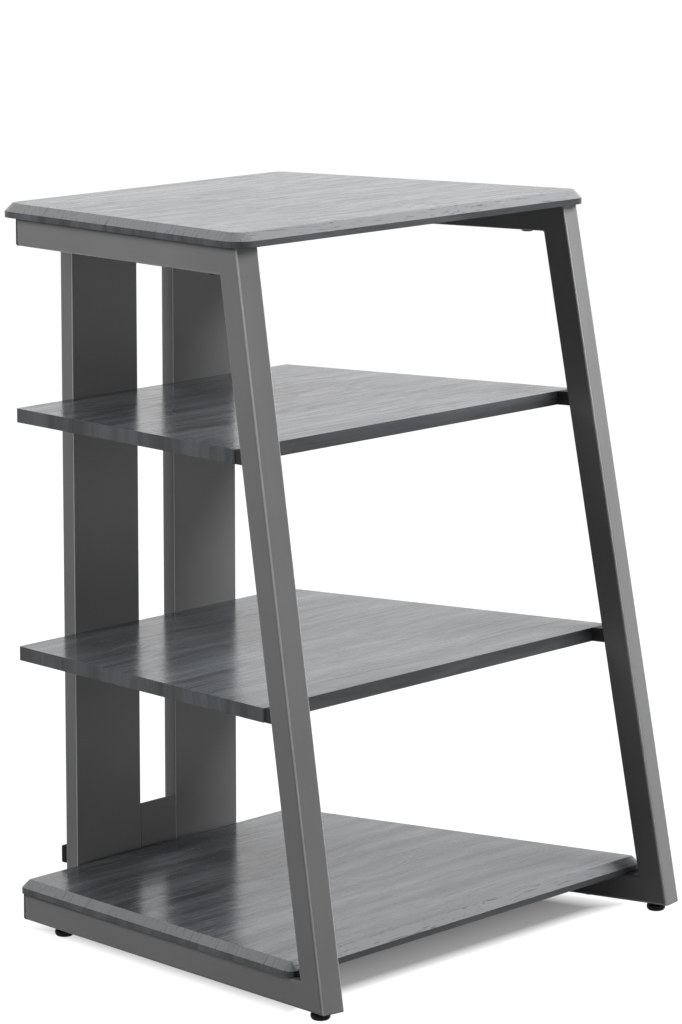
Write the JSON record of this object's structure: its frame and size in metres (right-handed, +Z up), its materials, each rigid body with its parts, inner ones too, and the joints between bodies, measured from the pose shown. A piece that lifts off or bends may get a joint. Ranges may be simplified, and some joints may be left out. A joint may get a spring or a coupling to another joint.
{
  "type": "media stand",
  "caption": "Open tiered stand for a record player and hi-fi: splayed, leaning square-tube side frames, charcoal woodgrain boards, flat back columns with a cable slot, levelling feet.",
  "frame": {"origin": "on the floor, under the middle of the stand's outline", "axes": "+Z up, -Y towards the front (the leaning legs), +Y towards the wall, +X to the right as seen from the front"},
  "size_m": [0.6462, 0.5648, 0.8425],
  "materials": {
    "grey_powder_coat": "fine-textured satin powder coat on steel",
    "charcoal_laminate": "woodgrain laminate on particle board, matt with a slight sheen",
    "black_plastic": "moulded, matt",
    "black_rubber": "moulded, dull",
    "black_steel": "black oxide, slightly oily",
    "zinc_steel": "zinc plated"
  },
  "bodies": {
    "stand": {"left_top_rail": "grey_powder_coat", "right_top_rail": "grey_powder_coat", "left_bottom_rail": "grey_powder_coat", "right_bottom_rail": "grey_powder_coat", "left_front_leg": "grey_powder_coat", "right_front_leg": "grey_powder_coat", "rail_end_caps": "black_plastic", "top_shelf": "charcoal_laminate", "bottom_shelf": "charcoal_laminate", "upper_shelf": "charcoal_laminate", "lower_shelf": "charcoal_laminate", "left_upper_spacer": "black_plastic", "right_upper_spacer": "black_plastic", "left_lower_spacer": "black_plastic", "right_lower_spacer": "black_plastic", "left_back_column": "grey_powder_coat", "right_back_column": "grey_powder_coat", "column_cross_plate": "grey_powder_coat", "top_shelf_bolts": "black_steel", "top_shelf_inserts": "zinc_steel", "bottom_shelf_bolts": "black_steel", "bottom_shelf_inserts": "zinc_steel", "column_bolts": "black_steel", "shelf_edge_inserts": "zinc_steel", "column_top_plugs": "black_plastic", "column_foot_plugs": "black_plastic", "spacer_screws": "zinc_steel", "shelf_pins": "zinc_steel", "left_wall_bumper": "black_rubber", "right_wall_bumper": "black_rubber", "foot_nuts": "zinc_steel"},
    "front_left_pad": {"front_left_foot_pad": "black_rubber"},
    "front_left_stem": {"front_left_foot_stem": "black_steel"},
    "front_right_pad": {"front_right_foot_pad": "black_rubber"},
    "front_right_stem": {"front_right_foot_stem": "black_steel"},
    "rear_left_pad": {"rear_left_foot_pad": "black_rubber"},
    "rear_left_stem": {"rear_left_foot_stem": "black_steel"},
    "rear_right_pad": {"rear_right_foot_pad": "black_rubber"},
    "rear_right_stem": {"rear_right_foot_stem": "black_steel"}
  },
  "joints": [
    {"name": "front_left_foot_height", "type": "slide", "parent": "stand", "child": "front_left_pad", "axis": [0, 0, -1], "range_m": [0, 0.01]},
    {"name": "front_left_foot_turn", "type": "hinge", "parent": "front_left_pad", "child": "front_left_stem", "pos_m": [-0.30426, -0.25849, 0.0105], "axis": [0, 0, -1], "range_deg": [0, 2881]},
    {"name": "front_right_foot_height", "type": "slide", "parent": "stand", "child": "front_right_pad", "axis": [0, 0, -1], "range_m": [0, 0.01]},
    {"name": "front_right_foot_turn", "type": "hinge", "parent": "front_right_pad", "child": "front_right_stem", "pos_m": [0.30426, -0.25849, 0.0105], "axis": [0, 0, -1], "range_deg": [0, 2881]},
    {"name": "rear_left_foot_height", "type": "slide", "parent": "stand", "child": "rear_left_pad", "axis": [0, 0, -1], "range_m": [0, 0.01]},
    {"name": "rear_left_foot_turn", "type": "hinge", "parent": "rear_left_pad", "child": "rear_left_stem", "pos_m": [-0.22908, 0.19255, 0.0105], "axis": [0, 0, -1], "range_deg": [0, 2881]},
    {"name": "rear_right_foot_height", "type": "slide", "parent": "stand", "child": "rear_right_pad", "axis": [0, 0, -1], "range_m": [0, 0.01]},
    {"name": "rear_right_foot_turn", "type": "hinge", "parent": "rear_right_pad", "child": "rear_right_stem", "pos_m": [0.22908, 0.19255, 0.0105], "axis": [0, 0, -1], "range_deg": [0, 2881]}
  ],
  "couplings": [
    {"joint": "front_left_foot_turn", "follows": "front_left_foot_height", "rad_per_m": 5026.5},
    {"joint": "front_right_foot_turn", "follows": "front_right_foot_height", "rad_per_m": 5026.5},
    {"joint": "rear_left_foot_turn", "follows": "rear_left_foot_height", "rad_per_m": 5026.5},
    {"joint": "rear_right_foot_turn", "follows": "rear_right_foot_height", "rad_per_m": 5026.5}
  ]
}
